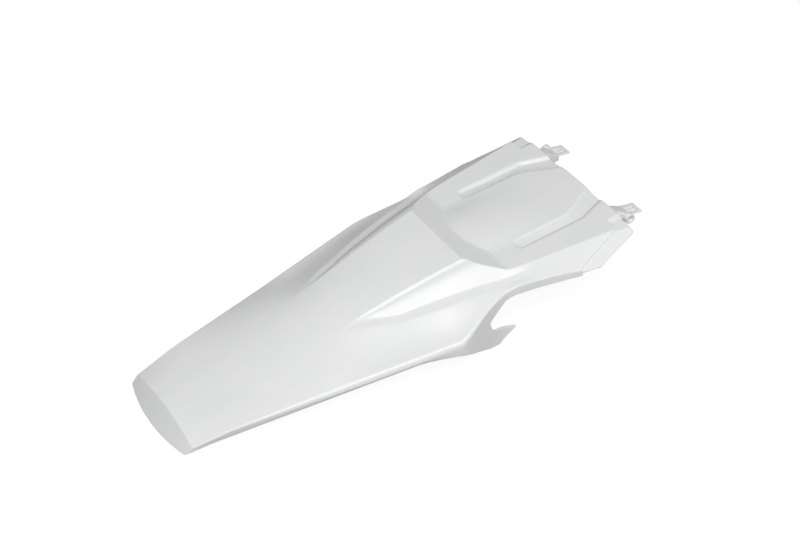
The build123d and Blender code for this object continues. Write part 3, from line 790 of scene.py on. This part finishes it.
# Web: an upright plate from the underside of the platform past the boss
def webGrid(place):
    frontX, rootX, wall = shell["frontX"], tongue["rootX"], shell["wall"]
    bossX, bossZ, r = boss["x"], boss["z"], boss["radius"]
    upper = np.array([(rootX, platformHeight(rootX) - wall),
                      (frontX - wall, platformHeight(frontX) - web["frontSink"] * wall),
                      (bossX + web["bossReach"] * r, bossZ + web["bossTop"] * r)])
    lower = np.array([(rootX, platformHeight(rootX) - web["underSink"] * wall),
                      (bossX - web["heelBack"], bossZ - r + web["heelUp"]),
                      (bossX + web["bossReach"] * r, bossZ - web["bossLow"] * r)])
    s, t = np.linspace(0.0, 1.0, web["steps"] + 1), np.linspace(0.0, 1.0, web["rows"] + 1)
    a, b = alongLine(upper, s), alongLine(lower, s)
    xz = a[:, None] + (b - a)[:, None] * t[None, :, None]
    return np.stack([xz[..., 0], np.full(xz.shape[:2], place), xz[..., 1]], axis=-1)


ring, ringFaces = joinGrids([bossGrid()])
sheet, quads = joinGrids([webGrid(place) for place in web["places"]])
closed, closedFaces = thicken(sheet, quads, web["wall"], web["edge"], 0)
bossFaces = np.vstack([ringFaces, closedFaces + len(ring)])
putMesh("screwBosses", np.vstack([ring, closed]), bossFaces, whitePlastic)

# Camera of the photograph, solved from the fender's symmetry
view = dict(place=(-716.3, -1181.7, 1234.4), look=(0.40615, 0.65198, -0.64036),
            right=(0.8441, -0.5361, -0.01055), lens=72.0)
look, right = Vector(view["look"]).normalized(), Vector(view["right"]).normalized()
up = right.cross(look).normalized()
camera = bpy.data.objects.new("camera", bpy.data.cameras.new("camera"))
camera.data.lens, camera.data.sensor_width = view["lens"], 36.0
camera.data.clip_start, camera.data.clip_end = 0.05, 30.0
turn = Matrix((right, up, -look)).transposed()
camera.matrix_world = Matrix.Translation(Vector(view["place"]) / 1000.0) @ turn.to_4x4()
bpy.context.scene.collection.objects.link(camera)
bpy.context.scene.camera = camera

# Lamp powers in watts and places in metres. The table top looks like table to the camera and lights
# the fender from below as bounce.
studio = dict(
    key=62.0, keySize=1.8, keyPlace=(-0.4, -1.72, 2.1), fill=9.0, fillSize=2.0, fillPlace=(-0.4, 1.7, 2.05),
    aim=(0.0, 0.0, 0.04), sky=0.205, table="f2f2f2", bounce="aaaaaa", tableSide=6.0, glow=1.1, glowShare=0.82,
)
plainWhite = (1.0, 1.0, 1.0, 1.0)


def areaLight(name, power, size, place):
    lamp = bpy.data.lights.new(name, "AREA")
    lamp.energy, lamp.size = power, size
    holder = bpy.data.objects.new(name, lamp)
    holder.location = place
    toObject = Vector(studio["aim"]) - Vector(place)
    holder.rotation_euler = toObject.to_track_quat("-Z", "Y").to_euler()
    bpy.context.scene.collection.objects.link(holder)


areaLight("keyLight", studio["key"], studio["keySize"], studio["keyPlace"])
areaLight("fillLight", studio["fill"], studio["fillSize"], studio["fillPlace"])

world = bpy.data.worlds.new("studio")
bpy.context.scene.world = world
world.use_nodes = True
tree = world.node_tree
tree.nodes.clear()
path = addNode(tree, "ShaderNodeLightPath")
seen = addNode(tree, "ShaderNodeMath", {"operation": "MAXIMUM"},
               links={0: path.outputs["Is Camera Ray"], 1: path.outputs["Is Transmission Ray"]})
soft = addNode(tree, "ShaderNodeBackground", inputs={"Color": plainWhite, "Strength": studio["sky"]})
white = addNode(tree, "ShaderNodeBackground", inputs={"Color": plainWhite, "Strength": 1.0})
both = addNode(tree, "ShaderNodeMixShader",
               links={0: seen.outputs[0], 1: soft.outputs[0], 2: white.outputs[0]})
addNode(tree, "ShaderNodeOutputWorld", links={"Surface": both.outputs[0]})

# White table top: bright to the camera so that the ground is white, with the fender's soft shadow kept
floorMesh = bpy.data.meshes.new("tableTop")
s = studio["tableSide"]
floorMesh.from_pydata([(-s, -s, 0), (s, -s, 0), (s, s, 0), (-s, s, 0)], [], [(0, 1, 2, 3)])
floor = bpy.data.objects.new("tableTop", floorMesh)
bpy.context.scene.collection.objects.link(floor)
paper = bpy.data.materials.new("whiteStudioPaper")
paper.use_nodes = True
tree = paper.node_tree
tree.nodes.clear()
path = addNode(tree, "ShaderNodeLightPath")
seen = addNode(tree, "ShaderNodeMath", {"operation": "MAXIMUM"},
               links={0: path.outputs["Is Camera Ray"], 1: path.outputs["Is Transmission Ray"]})
share = addNode(tree, "ShaderNodeMath", {"operation": "MULTIPLY"}, inputs={1: studio["glowShare"]},
                links={0: seen.outputs[0]})
tone = addNode(tree, "ShaderNodeMix", {"data_type": "RGBA"}, links={"Factor": seen.outputs[0]})
tone.inputs[6].default_value = hexColour(studio["bounce"])
tone.inputs[7].default_value = hexColour(studio["table"])
matt = addNode(tree, "ShaderNodeBsdfDiffuse", links={"Color": tone.outputs[2]})
glow = addNode(tree, "ShaderNodeEmission", inputs={"Color": plainWhite, "Strength": studio["glow"]})
both = addNode(tree, "ShaderNodeMixShader",
               links={0: share.outputs[0], 1: matt.outputs[0], 2: glow.outputs[0]})
addNode(tree, "ShaderNodeOutputMaterial", links={"Surface": both.outputs[0]})
floorMesh.materials.append(paper)

bpy.context.scene.view_settings.view_transform = "Standard"
